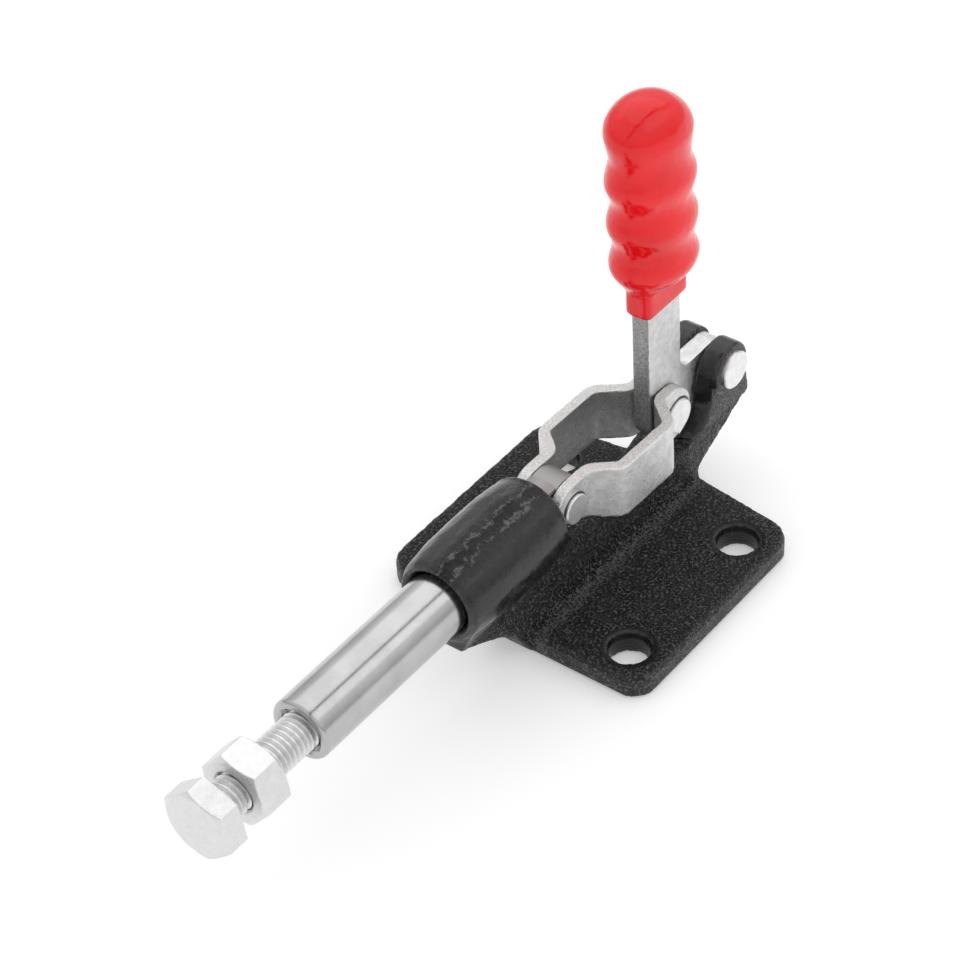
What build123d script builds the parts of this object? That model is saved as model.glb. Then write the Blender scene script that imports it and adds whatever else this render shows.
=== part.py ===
from build123d import *
import math
import os

# Push-pull toggle clamp on a flanged base. Frame: +X is the way the plunger pushes,
# +Z is up from the mounting face. The origin is on the underside of the base, under the
# plunger axis and midway between the front and rear mounting holes. Sizes in mm. The
# handle stands upright, with the plunger out.

# ---- base flange ----
BASE_NEAR_MARGIN = 9.5
BASE_FAR_MARGIN = 12.5
BASE_FRONT_MARGIN = 9.05
BASE_REAR_MARGIN = 10.25
BASE_REAR_BULGE = 4.2
BASE_REAR_MID_Y = 7.0
BASE_T = 6.5
BASE_CORNER_R = 6.5
BASE_EDGE_R = 0.8
HOLE_DX = 45.5
HOLE_NEAR_Y = 28.5
HOLE_FAR_Y = 25.5
HOLE_R = 5.0
HOLE_EDGE_R = 0.6

# ---- spine that carries barrel and ears ----
SPINE_TOP_Z = 18.7
SPINE_TOP_HALF = 4.8
SPINE_ROOT_HALF = 5.4
SPINE_FILLET = 4.0
SPINE_EDGE_R = 1.2
SPINE_REAR_INSET = 0.7

# ---- barrel, its web and the plunger ----
AXIS_Z = 32.3
PLUNGER_R = 8.0
BORE_CLEAR = 0.05
BARREL_REAR_X = 21.2
BARREL_LEN = 36.7
BARREL_REAR_R = 11.3
BARREL_SHOULDER_R = 12.05
BARREL_MID_R = 12.25
BARREL_NECK_R = 11.85
BARREL_NOSE_R = 11.15
BARREL_NOSE_LEN = 1.9
BARREL_REAR_EDGE = 0.5
BARREL_LIP_W = 0.5
SHOULDER_SHARE = 0.16
MID_SHARE = 0.4
NECK_SHARE = 0.2
BORE_MOUTH_R = 9.5
BORE_MOUTH_DEPTH = 1.4
WEB_HALF = 6.0
WEB_NOSE_INSET = 0.9
WEB_NOSE_Z = 19.7
WEB_BEND_X = 44.6
WEB_BEND_Z = 13.4
SKIRT_TOP_HALF = 10.1
SKIRT_TOP_DROP = 4.6
SKIRT_INSET = 2.4
CHEEK_END_X = -20.0
PLUNGER_FRONT_X = 106.5
PLUNGER_EDGE = 1.2
TONGUE_HALF = 3.7
TONGUE_R = 7.0
TONGUE_LEN = 13.6
THREAD_R = 5.0
THREAD_CLEAR = 0.06
THREAD_HOLE_DEPTH = 44.0
MOUTH_R = 6.2
MOUTH_DEPTH = 1.2

# ---- linkage pivots in the XZ plane ----
O_X = -50.2
A_X = -30.8
A_Z = 29.6
B_X = 13.4
SWING = 90.0
PIN_O_R = 4.0
PIN_A_R = 3.6
PIN_B_R = 2.8
HEAD_O_R = 5.0
HEAD_A_R = 4.6
HEAD_B_R = 4.0
HEAD_T = 0.8
HEAD_O_T = 1.3
HEAD_EDGE = 0.3
PIN_CLEAR = 0.06
SLOT_CLEAR = 0.2
SLOT_STOPS = 6

# ---- lever bar ----
BAR_FRONT_X = -23.45
BAR_REAR_X = -36.7
BAR_T = 4.9
BAR_TOP_Z = 112.0
BAR_TOP_CUT = 4.0
LUG_R = 5.9
LUG_FILLET = 3.5

# ---- ears ----
EAR_SIDE_CLEAR = 0.2
EAR_WEB_Y = 7.4
EAR_BOSS_Y = 8.5
EAR_R = 6.9
EAR_FRONT_X = -42.8
EAR_FRONT_Z = 26.4
EAR_FOOT_X = -33.7
EAR_CURVE_X = -40.2
EAR_CURVE_Z = 21.2
EAR_HEEL_X = -59.3
EAR_HEEL_Z = 19.6
EAR_HEEL_R = 1.5
EAR_KEEL_X = -37.6
EAR_KEEL_Z = 8.8
BOSS_LIP = 0.6
SLOT_FRONT_X = -34.0
SLOT_FLOOR_Z = 14.0
SLOT_FLOOR_RISE = 8.0

# ---- links ----
LINK_T = 3.0
LINK_SIDE_CLEAR = 0.15
LINK_IN_MID = 9.9
LINK_HALF_H = 7.6
LINK_A_RISE = 0.9
LINK_A_AHEAD = 2.1
LINK_B_RISE = -0.3
LINK_BEND_R = 2.2
LINK_BULGE_REAR_X = -24.2
LINK_BULGE_FRONT_X = 5.2
LINK_SLANT_REAR = 6.2
LINK_SLANT_FRONT = 5.0
LINK_STOP_CLEAR = 0.4

# ---- spindle bolt and lock nut ----
NUT_STANDOFF = 13.3
HEAD_STANDOFF = 5.9
BOLT_HEAD_T = 6.4
BOLT_AF = 17.0
BOLT_LEN = 55.0
BOLT_TURN = 10.0
BOLT_TIP = 0.9
NUT_T = 8.9
NUT_AF = 17.0
NUT_TURN = 19.0
HEX_BEVEL = 1.15
HEX_FACE_R = 8.1
NUT_MOUTH = 0.7

# ---- grip ----
GRIP_BASE_Z = 62.6
GRIP_LEN = 59.9
GRIP_X = -28.9
GRIP_LEAN = 2.0
GRIP_HALF_X = 12.5
GRIP_HALF_Y = 9.4
GRIP_GROOVE = 1.6
GRIP_SIDE_SHARE = 0.6
GRIP_PITCH = 12.0
GRIP_PEAK_Z = 111.8
GRIP_STAGGER = 1.5
GRIP_CAP = 12.3
GRIP_FLARE = 7.0
GRIP_STEP = 3.0
FLARE_SHARES = (0.02, 0.2, 0.55, 1.0)
CAP_ANGLES = (20, 40, 58, 72, 84)
COLLAR_LEN = 7.6
COLLAR_X = -30.4
COLLAR_HALF_X = 7.9
COLLAR_HALF_Y = 3.5
COLLAR_CORNER_R = 1.6

# ---- values that follow from those above ----
BASE_NEAR_Y = HOLE_NEAR_Y + BASE_NEAR_MARGIN
BASE_FAR_Y = HOLE_FAR_Y + BASE_FAR_MARGIN
BASE_FRONT_X = HOLE_DX / 2 + BASE_FRONT_MARGIN
BASE_REAR_X = -HOLE_DX / 2 - BASE_REAR_MARGIN
BASE_REAR_MID_X = BASE_REAR_X - BASE_REAR_BULGE
BARREL_FRONT_X = BARREL_REAR_X + BARREL_LEN
NUT_X = PLUNGER_FRONT_X + NUT_STANDOFF
BOLT_HEAD_X = NUT_X + NUT_T + HEAD_STANDOFF
GRIP_TOP_Z = GRIP_BASE_Z + GRIP_LEN
EAR_GAP_HALF = BAR_T / 2 + EAR_SIDE_CLEAR
LINK_IN_A = BAR_T / 2 + LINK_SIDE_CLEAR
LINK_IN_B = TONGUE_HALF + LINK_SIDE_CLEAR
BAR_END_R = BAR_FRONT_X - A_X
CUT = 1.0
FAR = 100.0


def xz_plate(sketch, y0, y1):
    """Extrude a sketch drawn in (x, z) between two y values."""
    solid = extrude(Plane.XZ * sketch, amount=y1 - y0)
    return Pos(0, y1, 0) * solid


def xz_disc(x, z, r, y0, y1):
    """Round bar along Y between y0 and y1."""
    return Pos(x, (y0 + y1) / 2, z) * Rot(90, 0, 0) * Cylinder(r, y1 - y0)


def x_bar(r, x0, x1):
    """Round bar along X on the plunger axis."""
    return Pos((x0 + x1) / 2, 0, AXIS_Z) * Rot(0, 90, 0) * Cylinder(r, x1 - x0)


def turned(points):
    """Solid of revolution about the plunger axis from (x, r) points."""
    ring = make_face(Polyline(*points, close=True))
    body = revolve(ring, Axis.X, 360)
    return Pos(0, 0, AXIS_Z) * body


def poly(points):
    """Closed polygon face in sketch coordinates."""
    return make_face(Polyline(*points, close=True))


def base_flange():
    """Flat four-hole flange with a slanted rear edge and round corners."""
    rx = BASE_REAR_MID_X
    ry = BASE_REAR_MID_Y
    outline = poly([
        (BASE_FRONT_X, -BASE_FAR_Y),
        (BASE_FRONT_X, BASE_NEAR_Y),
        (BASE_REAR_X, BASE_NEAR_Y),
        (rx, ry),
        (rx, -ry),
        (BASE_REAR_X, -BASE_FAR_Y),
    ])
    rows = outline.vertices().sort_by(Axis.Y)
    outline = fillet(rows[:2] + rows[-2:], BASE_CORNER_R)
    plate = extrude(outline, amount=BASE_T)
    rim = plate.faces().sort_by(Axis.Z)[-1].edges()
    plate = fillet(rim, BASE_EDGE_R)
    for x in (-HOLE_DX / 2, HOLE_DX / 2):
        for y in (-HOLE_FAR_Y, HOLE_NEAR_Y):
            plate -= Pos(x, y, BASE_T / 2) * Cylinder(HOLE_R, BASE_T * 2)
    top = plate.faces().filter_by(Axis.Z).sort_by(Axis.Z)[-1]
    rims = [wire.edges()[0] for wire in top.inner_wires()]
    return fillet(rims, HOLE_EDGE_R)


def spine():
    """Lengthwise rib with large root fillets that blends into the flange."""
    f = SPINE_FILLET
    root = SPINE_ROOT_HALF
    top = (SPINE_TOP_HALF, SPINE_TOP_Z)
    knee = (root, BASE_T + f)
    toe = (root + f, BASE_T)
    flank = Line(top, knee)
    cove = CenterArc((root + f, BASE_T + f), f, 180, 90)
    drop = Line(toe, (root + f, 0))
    half = [flank, cove, drop]
    other = [mirror(edge, Plane.YZ) for edge in half]
    lid = Line((-SPINE_TOP_HALF, SPINE_TOP_Z), top)
    floor = Line((-root - f, 0), (root + f, 0))
    section = make_face([lid] + half + [floor] + other)
    rear = BASE_REAR_MID_X + SPINE_REAR_INSET
    body = extrude(Plane.YZ * section, amount=BASE_FRONT_X - rear)
    body = Pos(rear, 0, 0) * body
    tops = body.faces().sort_by(Axis.Z)[-1].edges().filter_by(Axis.X)
    return fillet(tops, SPINE_EDGE_R)


def front_web():
    """Web under the barrel that rises forward from the flange to the barrel nose."""
    nose_x = BARREL_FRONT_X - WEB_NOSE_INSET
    rear_x = BARREL_REAR_X + BARREL_NOSE_LEN
    roof_z = AXIS_Z - PLUNGER_R / 2
    nose = (nose_x, WEB_NOSE_Z)
    bend = (WEB_BEND_X, WEB_BEND_Z)
    toe = (BASE_FRONT_X, 0)
    slope = (WEB_BEND_X - nose_x, WEB_BEND_Z - WEB_NOSE_Z)
    outline = make_face([
        Line(nose, bend),
        TangentArc(bend, toe, tangent=slope),
        Line(toe, (rear_x, 0)),
        Line((rear_x, 0), (rear_x, roof_z)),
        Line((rear_x, roof_z), (nose_x, roof_z)),
        Line((nose_x, roof_z), nose),
    ])
    return xz_plate(outline, -WEB_HALF, WEB_HALF)


def barrel():
    """Rounded barrel that guides the plunger."""
    x0 = BARREL_REAR_X
    x1 = BARREL_FRONT_X
    rim = (x0 + BARREL_REAR_EDGE, BARREL_REAR_R)
    nose = (x1 - BARREL_NOSE_LEN, BARREL_NOSE_R)
    swell = Spline(
        rim,
        (x0 + BARREL_LEN * SHOULDER_SHARE, BARREL_SHOULDER_R),
        (x0 + BARREL_LEN * MID_SHARE, BARREL_MID_R),
        (x1 - BARREL_LEN * NECK_SHARE, BARREL_NECK_R),
        nose,
    )
    lip = (x1, BORE_MOUTH_R + BARREL_LIP_W)
    back = Polyline((x0, 0), (x0, BARREL_REAR_R - BARREL_REAR_EDGE), rim)
    front = Polyline(nose, lip, (x1, 0), (x0, 0))
    ring = make_face([back.edges(), swell, front.edges()])
    return Pos(0, 0, AXIS_Z) * revolve(ring, Axis.X, 360)


def barrel_skirt():
    """Flanks that run from the barrel sides down into the web."""
    top_z = AXIS_Z - SKIRT_TOP_DROP
    section = poly([
        (SKIRT_TOP_HALF, top_z),
        (WEB_HALF, WEB_NOSE_Z),
        (-WEB_HALF, WEB_NOSE_Z),
        (-SKIRT_TOP_HALF, top_z),
    ])
    length = BARREL_LEN - SKIRT_INSET - WEB_NOSE_INSET
    body = extrude(Plane.YZ * section, amount=length)
    return Pos(BARREL_REAR_X + SKIRT_INSET, 0, 0) * body


def ear_outline():
    """Side outline of one ear, drawn in (x, z)."""
    brow = (EAR_FRONT_X, EAR_FRONT_Z)
    foot = (EAR_FOOT_X, SPINE_TOP_Z)
    heel = (EAR_HEEL_X, EAR_HEEL_Z)
    keel = (EAR_KEEL_X, EAR_KEEL_Z)
    inside = (EAR_FOOT_X, EAR_KEEL_Z - CUT)
    shoulder = (O_X + EAR_R, AXIS_Z)
    rear = (O_X - EAR_R, AXIS_Z)
    web = make_face([
        Line(shoulder, brow),
        ThreePointArc(brow, (EAR_CURVE_X, EAR_CURVE_Z), foot),
        Line(foot, inside),
        Line(inside, (EAR_KEEL_X, EAR_KEEL_Z - CUT)),
        Line((EAR_KEEL_X, EAR_KEEL_Z - CUT), keel),
        Line(keel, heel),
        Line(heel, rear),
        Line(rear, shoulder),
    ])
    corner = web.vertices().sort_by_distance((EAR_HEEL_X, EAR_HEEL_Z, 0))[0]
    web = fillet(corner, EAR_HEEL_R)
    return web + Pos(O_X, AXIS_Z) * Circle(EAR_R)


def cheeks():
    """Wedges that carry the ears' width forward into the spine."""
    plan = poly([
        (EAR_KEEL_X, EAR_WEB_Y),
        (EAR_FOOT_X, EAR_WEB_Y),
        (CHEEK_END_X, SPINE_TOP_HALF),
        (CHEEK_END_X, -SPINE_TOP_HALF),
        (EAR_FOOT_X, -EAR_WEB_Y),
        (EAR_KEEL_X, -EAR_WEB_Y),
    ])
    return extrude(plan, amount=SPINE_TOP_Z)


def ears():
    """Two ears with round bosses, one each side of the lever slot."""
    body = xz_plate(ear_outline(), -EAR_WEB_Y, EAR_WEB_Y)
    boss = xz_disc(O_X, AXIS_Z, EAR_R, -EAR_BOSS_Y, EAR_BOSS_Y)
    rims = boss.edges().filter_by(GeomType.CIRCLE)
    return body + chamfer(rims, BOSS_LIP)


def cast_body():
    """One-piece casting: flange, spine, ears, barrel and front web."""
    body = base_flange() + spine() + front_web() + barrel_skirt() + barrel()
    body += cheeks() + ears()
    open_x = O_X - 2 * EAR_R
    open_z = AXIS_Z + 2 * EAR_R
    slot = poly([
        (open_x, SLOT_FLOOR_Z - SLOT_FLOOR_RISE),
        (SLOT_FRONT_X, SLOT_FLOOR_Z),
        (SLOT_FRONT_X, open_z),
        (open_x, open_z),
    ])
    body -= xz_plate(slot, -EAR_GAP_HALF, EAR_GAP_HALF)
    bore_r = PLUNGER_R + BORE_CLEAR
    body -= x_bar(bore_r, BARREL_REAR_X - CUT, BARREL_FRONT_X + CUT)
    mouth = turned([
        (BARREL_FRONT_X + CUT, 0),
        (BARREL_FRONT_X + CUT, BORE_MOUTH_R),
        (BARREL_FRONT_X, BORE_MOUTH_R),
        (BARREL_FRONT_X - BORE_MOUTH_DEPTH, bore_r),
        (BARREL_FRONT_X - BORE_MOUTH_DEPTH, 0),
    ])
    body -= mouth
    body -= xz_disc(O_X, AXIS_Z, PIN_O_R, -2 * EAR_BOSS_Y, 2 * EAR_BOSS_Y)
    return body


def riveted_pin(x, z, shank_r, head_r, y_out, head_t=HEAD_T):
    """Cross pin along Y with a flat bevelled head at each end."""
    pin = xz_disc(x, z, shank_r, -y_out, y_out)
    for side in (-1, 1):
        inner = side * y_out
        outer = side * (y_out + head_t)
        head = xz_disc(x, z, head_r, min(inner, outer), max(inner, outer))
        rim = head.faces().sort_by(Axis.Y)[-1 if side > 0 else 0].edges()
        pin += chamfer(rim, HEAD_EDGE)
    return pin


def bar_blank(low_z):
    """Side outline of the straight bar from low_z up to its clipped top end."""
    return poly([
        (BAR_FRONT_X, low_z),
        (BAR_FRONT_X, BAR_TOP_Z - BAR_TOP_CUT),
        (BAR_FRONT_X - BAR_TOP_CUT, BAR_TOP_Z),
        (BAR_REAR_X + BAR_TOP_CUT, BAR_TOP_Z),
        (BAR_REAR_X, BAR_TOP_Z - BAR_TOP_CUT),
        (BAR_REAR_X, low_z),
    ])


def lever_bar():
    """Flat bar handle with a lug that reaches back to the main pivot."""
    round_end = Pos(A_X, A_Z) * Circle(BAR_END_R)
    round_lug = Pos(O_X, AXIS_Z) * Circle(LUG_R)
    lug = make_hull(round_end.edges() + round_lug.edges())
    shelf = poly([
        (O_X, AXIS_Z),
        (O_X, AXIS_Z + LUG_R),
        (BAR_REAR_X, AXIS_Z + LUG_R),
        (BAR_REAR_X, AXIS_Z),
    ])
    outline = bar_blank(A_Z) + lug + shelf
    corner = outline.vertices().sort_by_distance((BAR_REAR_X, AXIS_Z + LUG_R, 0))[0]
    outline = fillet(corner, LUG_FILLET)
    body = xz_plate(outline, -BAR_T / 2, BAR_T / 2)
    body -= xz_disc(O_X, AXIS_Z, PIN_O_R + PIN_CLEAR, -BAR_T, BAR_T)
    body -= xz_disc(A_X, A_Z, PIN_A_R + PIN_CLEAR, -BAR_T, BAR_T)
    return body


def grip_section(z):
    """Middle and half widths of the oval grip at one height; no grooves past the top peak."""
    turn = 2 * math.pi / GRIP_PITCH
    wave_f = (1 - math.cos(turn * min(0.0, z - GRIP_PEAK_Z - GRIP_STAGGER))) / 2
    wave_r = (1 - math.cos(turn * min(0.0, z - GRIP_PEAK_Z))) / 2
    foot_z = GRIP_BASE_Z + COLLAR_LEN
    t = min(1.0, (z - foot_z) / GRIP_FLARE)
    rise = math.sqrt(1 - (1 - t) ** 2)
    cap_z = GRIP_TOP_Z - GRIP_CAP
    cap = max(0.0, (z - cap_z) / GRIP_CAP)
    swell = math.sqrt(1 - cap * cap)
    depth = GRIP_GROOVE * rise * swell
    wide = COLLAR_HALF_X + (GRIP_HALF_X - COLLAR_HALF_X) * rise
    deep = COLLAR_HALF_Y + (GRIP_HALF_Y - COLLAR_HALF_Y) * rise
    front = wide * swell - depth * wave_f
    rear = wide * swell - depth * wave_r
    side = deep * swell - depth * GRIP_SIDE_SHARE * (wave_f + wave_r) / 2
    lean = GRIP_LEAN * ((z - foot_z) / (GRIP_TOP_Z - foot_z) - 0.5)
    return GRIP_X + lean + (front - rear) / 2, (front + rear) / 2, side


def grip_sleeve():
    """Dipped soft grip: oval wavy bulb with a round top, over a flat collar."""
    foot_z = GRIP_BASE_Z + COLLAR_LEN
    cap_z = GRIP_TOP_Z - GRIP_CAP
    heights = [foot_z + GRIP_FLARE * share for share in FLARE_SHARES]
    while heights[-1] + GRIP_STEP < cap_z:
        heights.append(heights[-1] + GRIP_STEP)
    for degrees in CAP_ANGLES:
        heights.append(cap_z + GRIP_CAP * math.sin(math.radians(degrees)))
    faces = []
    for z in heights:
        mid, hx, hy = grip_section(z)
        faces.append(Pos(mid, 0, z) * Ellipse(hx, hy))
    bulb = loft(faces)
    shape = RectangleRounded(2 * COLLAR_HALF_X, 2 * COLLAR_HALF_Y, COLLAR_CORNER_R)
    collar = Pos(COLLAR_X, 0, GRIP_BASE_Z) * extrude(shape, amount=COLLAR_LEN + GRIP_FLARE / 2)
    body = bulb + collar
    return body - xz_plate(bar_blank(GRIP_BASE_Z - CUT), -BAR_T / 2, BAR_T / 2)


def link_plan():
    """Plan outline of the near link: straight ends and a bulged middle."""
    inner = [
        (A_X - 2 * LINK_HALF_H, LINK_IN_A),
        (LINK_BULGE_REAR_X, LINK_IN_A),
        (LINK_BULGE_REAR_X + LINK_SLANT_REAR, LINK_IN_MID),
        (LINK_BULGE_FRONT_X - LINK_SLANT_FRONT, LINK_IN_MID),
        (LINK_BULGE_FRONT_X, LINK_IN_B),
        (B_X + 2 * LINK_HALF_H, LINK_IN_B),
    ]
    outer = []
    last = len(inner) - 1
    for i, (x, y) in enumerate(inner):
        a = inner[max(i - 1, 0)]
        b = inner[min(i + 1, last)]
        d0 = (x - a[0], y - a[1]) if i > 0 else (b[0] - x, b[1] - y)
        d1 = (b[0] - x, b[1] - y) if i < last else d0
        t0 = math.atan2(d0[1], d0[0])
        t1 = math.atan2(d1[1], d1[0])
        m = (t0 + t1) / 2
        k = LINK_T / math.cos((t1 - t0) / 2)
        outer.append((x - k * math.sin(m), y + k * math.cos(m)))
    outline = poly(inner + outer[::-1])

    def nearest(x, y):
        return outline.vertices().sort_by_distance((x, y, 0))[0]

    tight = [nearest(*point) for point in (outer[1], inner[2], inner[3], outer[4])]
    outline = fillet(tight, LINK_BEND_R)
    wide = [nearest(*point) for point in (inner[1], outer[2], outer[3], inner[4])]
    return fillet(wide, LINK_BEND_R + LINK_T)


def link(side):
    """Bent strap between lever pin and plunger pin."""
    top_y = LINK_IN_MID + 2 * LINK_T
    strap = extrude(link_plan(), amount=2 * AXIS_Z)
    rear = Pos(A_X + LINK_A_AHEAD, A_Z + LINK_A_RISE) * Circle(LINK_HALF_H)
    front = Pos(B_X, AXIS_Z + LINK_B_RISE) * Circle(LINK_HALF_H)
    side_view = make_hull(rear.edges() + front.edges())
    stop_x = BARREL_REAR_X - LINK_STOP_CLEAR
    keep = Pos(stop_x - FAR / 2, AXIS_Z) * Rectangle(FAR, FAR)
    body = strap & xz_plate(side_view & keep, 0, top_y)
    body -= xz_disc(A_X, A_Z, PIN_A_R, 0, top_y)
    body -= xz_disc(B_X, AXIS_Z, PIN_B_R, 0, top_y)
    if side < 0:
        body = mirror(body, Plane.XZ)
    return body


def slot_path():
    """Where the plunger pin stands in the tongue while the handle swings back.

    The plunger follows the handle at one constant rate, so the pin drifts off the
    hole in mid swing and meets it again at both ends.
    """
    span = math.hypot(A_X - O_X, A_Z - AXIS_Z)
    reach = math.hypot(B_X - A_X, AXIS_Z - A_Z)
    lean = math.atan2(A_Z - AXIS_Z, A_X - O_X)
    slant = math.atan2(AXIS_Z - A_Z, B_X - A_X)
    full = math.radians(SWING)
    end_x = O_X + span * math.cos(lean + full)
    end_z = AXIS_Z + span * math.sin(lean + full)
    end_b = end_x + math.sqrt(reach ** 2 - (end_z - AXIS_Z) ** 2)
    end_slant = math.atan2(AXIS_Z - end_z, end_b - end_x)
    points = []
    for step in range(SLOT_STOPS):
        share = step / SLOT_STOPS
        a = lean + full * share
        b = slant + (end_slant - slant) * share
        x = O_X + span * math.cos(a) + reach * math.cos(b)
        z = AXIS_Z + span * math.sin(a) + reach * math.sin(b)
        points.append((x - (B_X + (end_b - B_X) * share), z - AXIS_Z))
    return points


def plunger():
    """Sliding plunger: flat rear tongue, tapped front end."""
    x1 = PLUNGER_FRONT_X
    rod = x_bar(PLUNGER_R, B_X - PLUNGER_R, x1)
    front = rod.faces().sort_by(Axis.X)[-1].edges()
    rod = fillet(front, PLUNGER_EDGE)
    tongue = Pos(B_X, AXIS_Z) * Circle(TONGUE_R)
    heel = Rectangle(TONGUE_LEN + CUT, 2 * PLUNGER_R)
    tongue += Pos(B_X + (TONGUE_LEN + TONGUE_R) / 2, AXIS_Z) * heel
    mask = xz_plate(tongue, -TONGUE_HALF, TONGUE_HALF)
    mask += x_bar(PLUNGER_R + CUT, B_X + TONGUE_LEN, x1 + CUT)
    body = rod & mask
    rings = []
    for dx, dz in slot_path():
        spot = Pos(B_X + dx, AXIS_Z + dz)
        rings += (spot * Circle(PIN_B_R + SLOT_CLEAR)).edges()
    body -= xz_plate(make_hull(rings), -PLUNGER_R, PLUNGER_R)
    body -= x_bar(THREAD_R, x1 - THREAD_HOLE_DEPTH, x1 + CUT)
    mouth = turned([
        (x1 + CUT, 0),
        (x1 + CUT, MOUTH_R),
        (x1, MOUTH_R),
        (x1 - MOUTH_DEPTH, THREAD_R),
        (x1 - MOUTH_DEPTH, 0),
    ])
    return body - mouth


def hexagon(af, turn, x0, x1):
    """Hexagonal prism along X, a corner at turn degrees from straight up."""
    corner_r = af / 2 / math.cos(math.pi / 6)
    section = RegularPolygon(radius=corner_r, side_count=6, rotation=90 + turn)
    body = extrude(Plane.YZ * section, amount=x1 - x0)
    return Pos(x0, 0, AXIS_Z) * body


def spindle_bolt():
    """Hexagon head bolt screwed into the plunger."""
    x0 = BOLT_HEAD_X
    x1 = BOLT_HEAD_X + BOLT_HEAD_T
    head = hexagon(BOLT_AF, BOLT_TURN, x0, x1)
    round_off = turned([
        (x0, 0),
        (x0, BOLT_AF),
        (x1 - HEX_BEVEL, HEX_FACE_R + 2 * HEX_BEVEL),
        (x1, HEX_FACE_R),
        (x1, 0),
    ])
    head = head & round_off
    shank_r = THREAD_R - THREAD_CLEAR
    end = x0 - BOLT_LEN
    shank = turned([
        (end, 0),
        (end, shank_r - BOLT_TIP),
        (end + BOLT_TIP, shank_r),
        (x0 + CUT, shank_r),
        (x0 + CUT, 0),
    ])
    return head + shank


def lock_nut():
    """Hexagon lock nut, both ends bevelled."""
    x0 = NUT_X
    x1 = NUT_X + NUT_T
    body = hexagon(NUT_AF, NUT_TURN, x0, x1)
    wide = HEX_FACE_R + 2 * HEX_BEVEL
    round_off = turned([
        (x0, 0),
        (x0, HEX_FACE_R),
        (x0 + HEX_BEVEL, wide),
        (x1 - HEX_BEVEL, wide),
        (x1, HEX_FACE_R),
        (x1, 0),
    ])
    body = body & round_off
    body -= x_bar(THREAD_R, x0 - CUT, x1 + CUT)
    for face_x, inward in ((x0, 1), (x1, -1)):
        mouth = turned([
            (face_x - inward * CUT, 0),
            (face_x - inward * CUT, THREAD_R + NUT_MOUTH),
            (face_x, THREAD_R + NUT_MOUTH),
            (face_x + inward * NUT_MOUTH, THREAD_R),
            (face_x + inward * NUT_MOUTH, 0),
        ])
        body -= mouth
    return body


SHAPES = {
    "cast_body": cast_body(),
    "pivot_pin": riveted_pin(O_X, AXIS_Z, PIN_O_R, HEAD_O_R, EAR_BOSS_Y, HEAD_O_T),
    "lever_bar": lever_bar(),
    "grip_sleeve": grip_sleeve(),
    "lever_link_pin": riveted_pin(A_X, A_Z, PIN_A_R, HEAD_A_R, LINK_IN_A + LINK_T),
    "plunger_pin": riveted_pin(B_X, AXIS_Z, PIN_B_R, HEAD_B_R, LINK_IN_B + LINK_T),
    "link_near": link(1),
    "link_far": link(-1),
    "plunger": plunger(),
    "spindle_bolt": spindle_bolt(),
    "lock_nut": lock_nut(),
}

os.makedirs("parts", exist_ok=True)
for name, shape in SHAPES.items():
    export_step(shape, "parts/" + name + ".step")
    box = shape.bounding_box()
    print(name, "volume", round(shape.volume), "solids", len(shape.solids()),
          "size", [round(v, 1) for v in (box.size.X, box.size.Y, box.size.Z)])
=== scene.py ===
# %% [markdown]
# # A push-pull toggle clamp
# The clamp has a black cast body bolted down by four holes, a steel plunger that slides
# in its barrel, two bent links, a flat bar handle with a red dipped grip, and a hexagon
# bolt with a lock nut on its nose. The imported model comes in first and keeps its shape.
# Every piece made here stands for one of its nodes, or for part of one, in metres, in
# the same frame.

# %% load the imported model
import bpy
import math
from mathutils import Matrix, Vector


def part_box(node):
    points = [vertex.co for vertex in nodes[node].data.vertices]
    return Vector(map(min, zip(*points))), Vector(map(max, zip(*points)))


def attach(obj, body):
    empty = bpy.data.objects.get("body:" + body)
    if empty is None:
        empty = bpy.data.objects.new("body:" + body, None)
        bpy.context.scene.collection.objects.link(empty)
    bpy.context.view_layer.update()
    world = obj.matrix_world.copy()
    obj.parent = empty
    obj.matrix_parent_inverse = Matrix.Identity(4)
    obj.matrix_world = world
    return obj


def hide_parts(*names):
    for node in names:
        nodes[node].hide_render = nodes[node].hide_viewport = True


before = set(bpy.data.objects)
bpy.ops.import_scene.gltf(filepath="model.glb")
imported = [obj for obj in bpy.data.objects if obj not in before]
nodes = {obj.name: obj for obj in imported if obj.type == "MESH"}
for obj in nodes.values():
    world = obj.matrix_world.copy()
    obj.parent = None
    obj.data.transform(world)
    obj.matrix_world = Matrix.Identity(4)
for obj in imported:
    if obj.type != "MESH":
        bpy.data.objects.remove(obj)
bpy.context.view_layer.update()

# %% [markdown]
# ## Camera
# A long lens from the front (+X), the near side (+Y) and above. The camera's place and
# its three turns are written as numbers, so the view doesn't depend on any helper.

# %% camera
YAW, TILT, ROLL = math.radians(39.79), math.radians(41.16), math.radians(-3.72)
EYE = Vector((0.44787, 0.34032, 0.52151))
FOCAL_PX, FRAME_PX, SENSOR_MM, FAR_CLIP = 3128.2, 960, 36, 20
side = Vector((-math.sin(YAW), math.cos(YAW), 0))
ahead = Vector((-math.cos(YAW), -math.sin(YAW), 0))
look = ahead * math.cos(TILT) - Vector((0, 0, 1)) * math.sin(TILT)
rise = ahead * math.sin(TILT) + Vector((0, 0, 1)) * math.cos(TILT)
right = side * math.cos(ROLL) + rise * math.sin(ROLL)
up = rise * math.cos(ROLL) - side * math.sin(ROLL)

cam_data = bpy.data.cameras.new("camera")
cam_data.sensor_width = SENSOR_MM
cam_data.lens = SENSOR_MM * FOCAL_PX / FRAME_PX
cam_data.clip_end = FAR_CLIP
camera = bpy.data.objects.new("camera", cam_data)
bpy.context.collection.objects.link(camera)
axes = Matrix((right, up, -look)).transposed().to_4x4()
camera.matrix_world = Matrix.Translation(EYE) @ axes
bpy.context.scene.camera = camera
print("lens", round(cam_data.lens, 1), "mm")

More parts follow.
